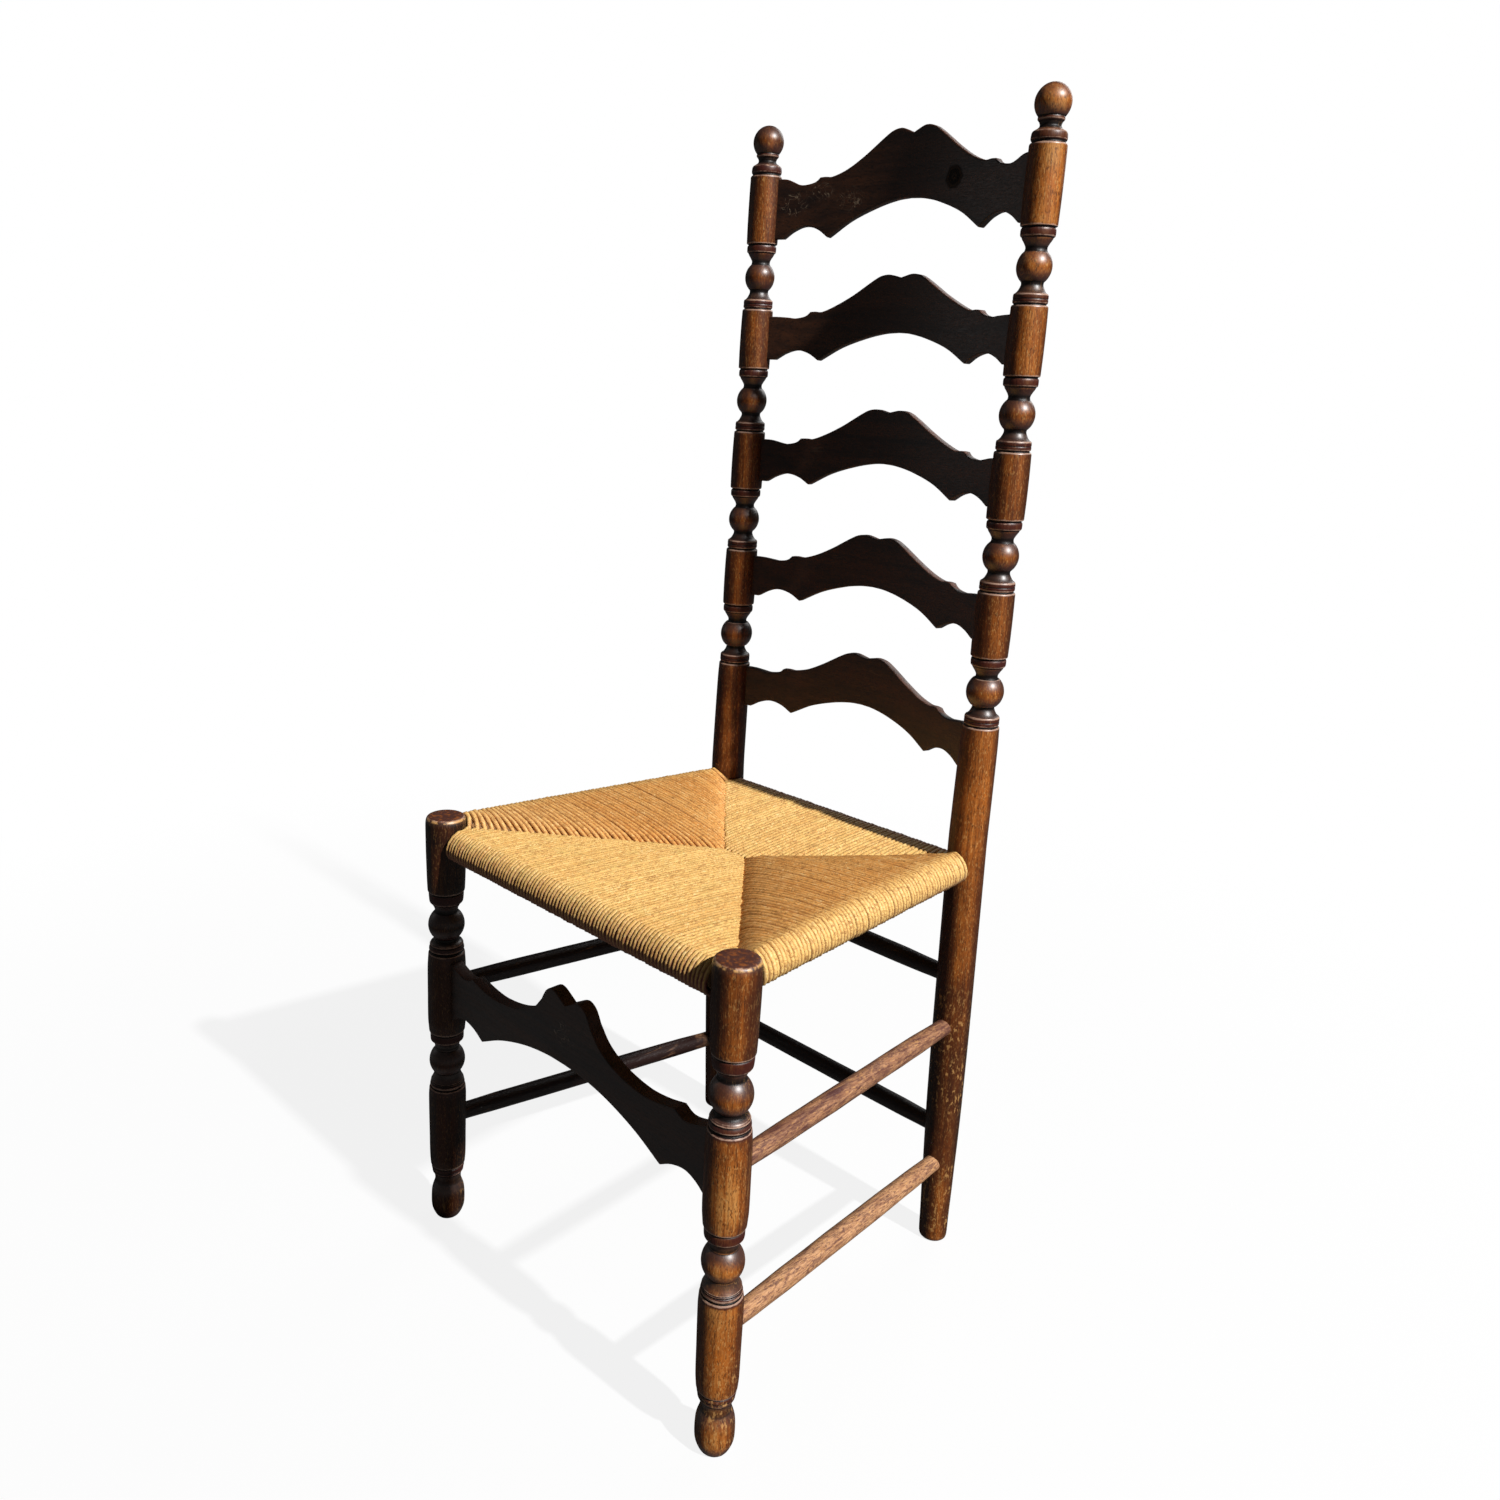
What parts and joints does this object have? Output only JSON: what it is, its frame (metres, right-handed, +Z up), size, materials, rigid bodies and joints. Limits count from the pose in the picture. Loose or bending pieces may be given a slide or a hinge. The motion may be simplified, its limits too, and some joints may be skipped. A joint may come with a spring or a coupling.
{
  "type": "ladder back chair",
  "caption": "Tall ladder back side chair with turned legs and posts, bowed scalloped slats, a shaped front board and a woven rush seat.",
  "frame": {"origin": "on the floor, under the middle of the chair's overall box", "axes": "+Z up, the chair faces -Y, +X to the sitter's left"},
  "size_m": [0.4572, 0.4501, 1.1732],
  "materials": {
    "turned_wood": "dark walnut stain over turned wood, waxed, with paler worn rings",
    "slat_wood": "very dark walnut stain, satin wax",
    "board_wood": "very dark walnut stain, satin wax",
    "rung_wood": "brown stain rubbed through to tan wood on the upper side",
    "rail_wood": "bare unfinished wood, hidden under the rush",
    "rush": "twisted straw-coloured rush cord, matt, slightly waxy"
  },
  "bodies": {
    "root": {"front_leg_left": "turned_wood", "front_leg_right": "turned_wood", "back_post_left": "turned_wood", "back_post_right": "turned_wood", "slat_1": "slat_wood", "slat_2": "slat_wood", "slat_3": "slat_wood", "slat_4": "slat_wood", "slat_5": "slat_wood", "front_board": "board_wood", "side_rung_upper_left": "rung_wood", "side_rung_upper_right": "rung_wood", "side_rung_lower_left": "rung_wood", "side_rung_lower_right": "rung_wood", "back_rung_upper": "rung_wood", "back_rung_lower": "rung_wood", "seat_rail_front": "rail_wood", "seat_rail_back": "rail_wood", "seat_rail_left": "rail_wood", "seat_rail_right": "rail_wood", "rush_seat": "rush"}
  },
  "joints": []
}
